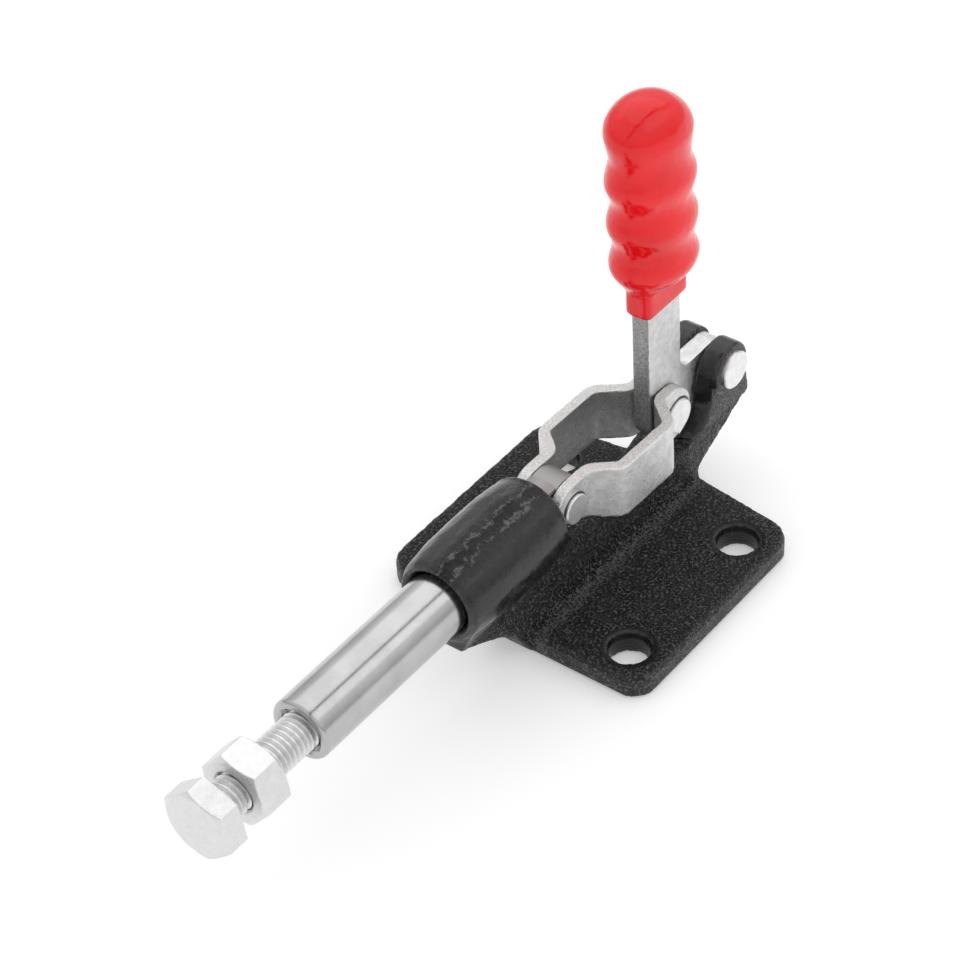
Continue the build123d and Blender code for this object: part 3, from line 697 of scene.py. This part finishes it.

# %% [markdown]
# ## Ground plunger
# The rod is centreless-ground bar: smooth, a little grey, with hair-fine lines round it.
# It keeps its imported shape and only gets its finish. The flat tongue behind the barrel
# is milled, so it is duller than the rod, and its colour is darkened as painted shade where it sits
# between the links.

# %% ground rod finish
TONGUE_END, MILLED_ROUGH, MILLED_SHADE_TONE = BARREL_X[0], 0.5, (0.34, 0.34, 0.335, 1)
ground_rod = plated(
    "ground_rod", (0.43, 0.43, 0.432, 1), (0.5, 0.5, 0.5, 1), rough=0.19, scale=90.0,
    bump_mm=0.002, fine=700.0, stretch=(5.0, 0.4, 0.4), wear=2.0)
tree = ground_rod.node_tree
metal = next(node for node in tree.nodes if node.type == "BSDF_PRINCIPLED")
_, parts = place_parts(tree)
# Behind the barrel the tongue turns rougher from milling, and darker: painted shade between the links.
milled_and_shaded = ramp(tree, parts.outputs["X"], TONGUE_END, TONGUE_END + 0.001, 1.0, 0.0)
colour = metal.inputs["Base Color"].links[0].from_socket
dull = metal.inputs["Roughness"].links[0].from_socket
tree.links.new(blend_to(tree, milled_and_shaded, colour, MILLED_SHADE_TONE), metal.inputs["Base Color"])
rougher = add(tree, "Mix", data_type="FLOAT")
rougher.inputs[3].default_value = MILLED_ROUGH
tree.links.new(milled_and_shaded, rougher.inputs[0])
tree.links.new(dull, rougher.inputs[2])
tree.links.new(rougher.outputs[0], metal.inputs["Roughness"])
finish_with(nodes["plunger"], ground_rod)
print("rod finished, milled behind", TONGUE_END)

# %% [markdown]
# ## Spindle bolt and lock nut
# A coarse-threaded hexagon bolt carries a lock nut. Head and nut are copies of the
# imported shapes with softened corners. The thread is drawn as one tooth and turned up
# a helix by a Screw modifier, then cut flat at both ends.

# %% bolt head and nut
HEAD_T, SHANK_R, HEX_VOXEL = 0.0064, 0.00494, 0.00022
bolt_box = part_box("spindle_bolt")
head_x = bolt_box[1][0] - HEAD_T
bolt_head = merged_copy("spindle_bolt", "bolt_head")
bpy.ops.object.mode_set(mode="EDIT")
bpy.ops.mesh.select_all(action="SELECT")
bpy.ops.mesh.bisect(plane_co=(head_x - 0.001, 0, 0), plane_no=(1, 0, 0), use_fill=True,
                    clear_inner=True)
bpy.ops.object.mode_set(mode="OBJECT")
nut_skin = merged_copy("lock_nut", "nut_skin")
hexagons = ((bolt_head, "spindle_bolt", "spindle"), (nut_skin, "lock_nut", "nut"))
for piece, node, body in hexagons:
    reskin(piece, HEX_VOXEL, 4)
    everywhere = group_by_place(piece, "all_over", lambda x, y, z: 1.0)
    hollow(piece, piece.name + "_forging", "CLOUDS", 0.004, 0.00018, everywhere)
    finish_with(piece, bolt_zinc)
    ride_as(piece, node, body)

# %% thread
PITCH, THREAD_DEPTH, WELD = 0.0015, 0.0009, 0.000005
ROOT_R = SHANK_R - THREAD_DEPTH
tip_x = bolt_box[0][0]
turns = int((head_x - tip_x) / PITCH) + 3
bpy.ops.object.select_all(action="DESELECT")
bpy.ops.mesh.primitive_plane_add(size=PITCH / 4)
thread = bpy.context.object
thread.name = "bolt_thread"
bpy.ops.object.mode_set(mode="EDIT")
bpy.ops.mesh.select_all(action="SELECT")
bpy.ops.mesh.merge(type="CENTER")
bpy.ops.transform.translate(value=(ROOT_R, 0, 0))
ROOT, FLANK, CREST, NEXT_ROOT = PITCH * 0.1, PITCH * 0.34, PITCH * 0.14, PITCH * 0.08
tooth = ((0, ROOT), (SHANK_R - ROOT_R, FLANK), (0, CREST), (ROOT_R - SHANK_R, FLANK),
         (0, NEXT_ROOT))
for out_by, along in tooth:
    bpy.ops.mesh.extrude_region_move(TRANSFORM_OT_translate={"value": (out_by, 0, along)})
bpy.ops.object.mode_set(mode="OBJECT")
apply_modifier(thread, "SCREW", axis="Z", screw_offset=PITCH, iterations=turns, steps=40,
               render_steps=40, use_merge_vertices=True, merge_threshold=WELD)
thread.rotation_euler = (0, math.pi / 2, 0)
thread.location = (tip_x - 1.4 * PITCH, 0, AXIS_Z)
choose(thread)
bpy.ops.object.transform_apply(location=True, rotation=True, scale=True)
bpy.ops.object.mode_set(mode="EDIT")
bpy.ops.mesh.select_all(action="SELECT")
bpy.ops.mesh.remove_doubles(threshold=WELD)
bpy.ops.mesh.bisect(plane_co=(tip_x + 0.00005, 0, 0), plane_no=(1, 0, 0), use_fill=True,
                    clear_inner=True)
bpy.ops.mesh.select_all(action="SELECT")
bpy.ops.mesh.bisect(plane_co=(head_x + 0.0005, 0, 0), plane_no=(1, 0, 0), use_fill=True,
                    clear_outer=True)
bpy.ops.mesh.select_all(action="SELECT")
bpy.ops.mesh.normals_make_consistent(inside=False)
bpy.ops.object.mode_set(mode="OBJECT")
bpy.ops.object.shade_smooth_by_angle(angle=math.radians(25))
finish_with(thread, bolt_zinc)
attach(thread, "spindle")
print("thread", turns, "turns,", len(thread.data.polygons), "faces")

# %% [markdown]
# ## Red dipped grip
# The grip is made by dipping the hot bar in liquid vinyl. It sets glossy and slightly
# lumpy with soft rims. The copy is reskinned and smoothed until its collar has round
# corners. Then it is swelled a little, its tip leans off the bar's line, its dome is
# smoothed once more, and large clouds press it in.

# %% grip skin
GRIP_VOXEL, COLLAR_PASSES, DOME_PASSES, DOME_RUN = 0.00045, 8, 30, 0.002
TIP_Z, TIP_RISE, TIP_LEAN = 0.113, 0.009, (0.001, -0.0008)
SHOULDER_OUT, SHOULDER_Z, SHOULDER_SPAN = 0.0006, 0.1194, 0.004
BODY_SWELL, COLLAR_SWELL, COLLAR_TOP = 0.035, 0.08, 0.0702
GRIP_MID, COLLAR_MID = -0.0279, -0.0304
grip_skin = merged_copy("grip_sleeve", "grip_skin")
reskin(grip_skin, GRIP_VOXEL, 4)
collar = group_by_place(grip_skin, "collar", lambda x, y, z: 1.0 if z < COLLAR_TOP else 0.0)
apply_modifier(grip_skin, "SMOOTH", factor=0.5, iterations=COLLAR_PASSES, vertex_group=collar)
for vert in grip_skin.data.vertices:
    share = share_of(vert.co.z, TIP_Z, TIP_RISE)
    vert.co.x += TIP_LEAN[0] * share
    vert.co.y += TIP_LEAN[1] * share
    shoulder = SHOULDER_OUT * math.exp(-((vert.co.z - SHOULDER_Z) / SHOULDER_SPAN) ** 2)
    swell = COLLAR_SWELL if vert.co.z < COLLAR_TOP else BODY_SWELL
    middle = GRIP_MID if vert.co.z > COLLAR_TOP else COLLAR_MID
    out_x, out_y = vert.co.x - middle, vert.co.y
    grow = swell + shoulder / max(0.001, math.hypot(out_x, out_y))
    vert.co.x += out_x * grow
    vert.co.y += out_y * grow
dome = group_by_place(grip_skin, "dome", lambda x, y, z: share_of(z, TIP_Z, DOME_RUN))
apply_modifier(grip_skin, "SMOOTH", factor=0.5, iterations=DOME_PASSES, vertex_group=dome)
everywhere = group_by_place(grip_skin, "all_over", lambda x, y, z: 1.0)
hollow(grip_skin, "dip_lumps", "CLOUDS", 0.009, 0.0002, everywhere)

# %% red vinyl
red_vinyl, tree, out = new_material("red_vinyl")
vinyl = add(tree, "BsdfPrincipled", Roughness=0.15)
vinyl.inputs["Specular IOR Level"].default_value = 0.45
tone = use_group(tree, mottle, Scale=90.0,
                 Dark=(0.8, 0.004, 0.008, 1), Light=(0.9, 0.008, 0.014, 1))
tree.links.new(tone.outputs["Color"], vinyl.inputs["Base Color"])
dull = ramp(tree, tone.outputs["Mask"], 0.0, 1.0, 0.1, 0.18)
tree.links.new(dull, vinyl.inputs["Roughness"])
lumps = use_group(tree, grain, Coarse=220.0, Fine=600.0)
bump = add(tree, "Bump", Strength=0.2, Distance=0.0005)
tree.links.new(lumps.outputs["Height"], bump.inputs["Height"])
tree.links.new(bump.outputs[0], vinyl.inputs["Normal"])
tree.links.new(vinyl.outputs[0], out.inputs["Surface"])
finish_with(grip_skin, red_vinyl)
ride_as(grip_skin, "grip_sleeve", "lever")
print("grip finished")
